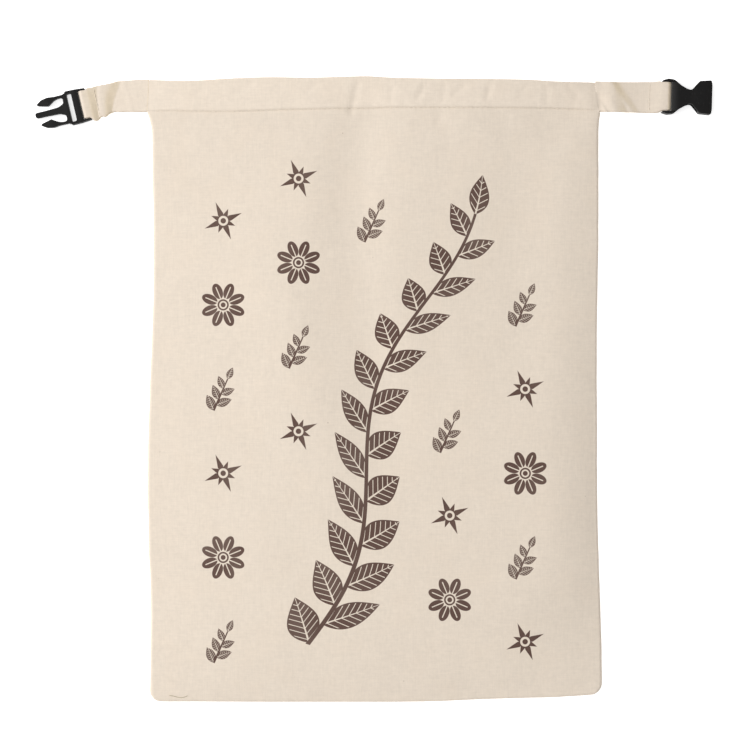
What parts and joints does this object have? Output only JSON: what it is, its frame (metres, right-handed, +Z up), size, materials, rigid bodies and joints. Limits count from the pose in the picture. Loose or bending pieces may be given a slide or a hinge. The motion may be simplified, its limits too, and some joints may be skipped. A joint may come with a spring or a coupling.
{
  "type": "linen bread bag",
  "caption": "Flat empty cloth bread bag with a turned roll-top hem, a cloth tab at each side of the mouth and a side-release buckle, block-printed with leaves.",
  "frame": {"origin": "on the surface the bag lies on, under the centre of the whole object's box", "axes": "+Z up, out of the front face; +Y from the foot to the mouth; +X towards the tab with the buckle socket"},
  "size_m": [0.4679, 0.4314, 0.0091],
  "materials": {
    "body_cloth": "plain woven, natural cream",
    "tab_cloth": "plain woven, natural cream, folded double",
    "buckle_plastic": "fine matt moulding"
  },
  "bodies": {
    "root": {"bag_body": "body_cloth", "strap_left": "tab_cloth", "strap_right": "tab_cloth", "buckle_plug": "buckle_plastic", "buckle_socket": "buckle_plastic"}
  },
  "joints": []
}
